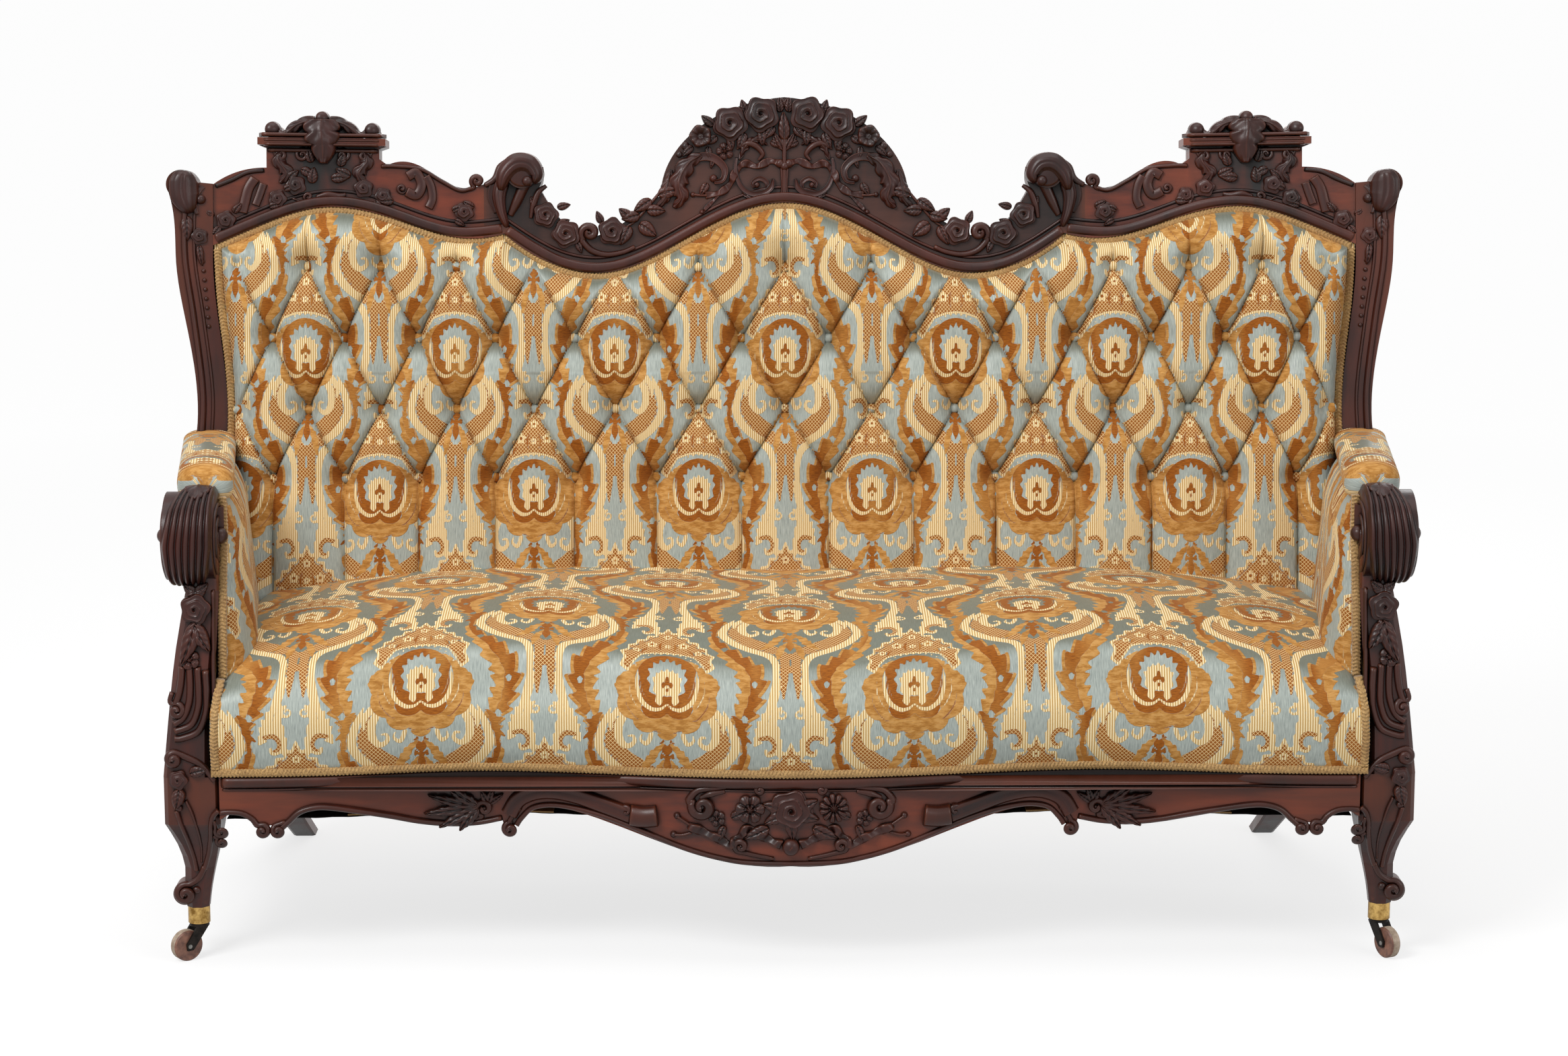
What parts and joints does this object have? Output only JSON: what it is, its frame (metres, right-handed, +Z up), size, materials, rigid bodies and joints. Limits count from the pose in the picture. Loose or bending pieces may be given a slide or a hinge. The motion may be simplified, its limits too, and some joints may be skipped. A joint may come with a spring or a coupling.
{
  "type": "settee",
  "caption": "Carved settee with a bowed, deep-buttoned back, sprung seat, padded scroll arms, serpentine apron and swivel casters on the front legs.",
  "frame": {"origin": "on the floor, midway between the left and right ears and between the front of the apron and the back of the crest", "axes": "+X along the settee towards the right of the picture, -Y towards the front, +Z up"},
  "size_m": [1.8716, 0.8, 1.1702],
  "materials": {
    "wood": "polished",
    "inner_wood": "raw",
    "damask": "woven",
    "jute": "woven",
    "black_cloth": "woven",
    "steel": "drawn",
    "brass": "aged",
    "iron": "dark",
    "wheel": "worn"
  },
  "bodies": {
    "frame": {"crest_center": "wood", "crest_left": "wood", "crest_right": "wood", "stile_left": "wood", "stile_right": "wood", "front_rail": "wood", "side_rail_left": "wood", "side_rail_right": "wood", "rear_rail": "wood", "front_leg_left": "wood", "front_leg_right": "wood", "arm_post_left": "wood", "arm_post_right": "wood", "arm_left": "wood", "arm_right": "wood", "rear_leg_left": "wood", "rear_leg_right": "wood", "back_lower_rail": "inner_wood", "back_stays": "inner_wood", "corner_blocks": "inner_wood", "seat_pad": "damask", "back_pad": "damask", "back_buttons": "damask", "inside_arm_pad_left": "damask", "inside_arm_pad_right": "damask", "arm_pad_left": "damask", "arm_pad_right": "damask", "outside_back": "damask", "outside_arm_left": "damask", "outside_arm_right": "damask", "seat_webbing": "jute", "spring_cover": "jute", "seat_springs": "steel", "dust_cover": "black_cloth", "caster_ferrule_left": "brass", "caster_ferrule_right": "brass"},
    "caster_left": {"caster_fork_left": "iron", "caster_axle_left": "steel"},
    "caster_right": {"caster_fork_right": "iron", "caster_axle_right": "steel"},
    "wheel_left": {"caster_wheel_left": "wheel"},
    "wheel_right": {"caster_wheel_right": "wheel"}
  },
  "joints": [
    {"name": "caster_left_swivel", "type": "hinge", "parent": "frame", "child": "caster_left", "pos_m": [-0.836, -0.34, 0.053], "axis": [0, 0, 1], "continuous": true},
    {"name": "caster_right_swivel", "type": "hinge", "parent": "frame", "child": "caster_right", "pos_m": [0.836, -0.34, 0.053], "axis": [0, 0, 1], "continuous": true},
    {"name": "wheel_left_roll", "type": "hinge", "parent": "caster_left", "child": "wheel_left", "pos_m": [-0.8532, -0.35204, 0.022], "axis": [-0.5736, 0.8192, 0], "continuous": true},
    {"name": "wheel_right_roll", "type": "hinge", "parent": "caster_right", "child": "wheel_right", "pos_m": [0.84586, -0.35854, 0.022], "axis": [-0.8829, -0.4695, 0], "continuous": true}
  ]
}
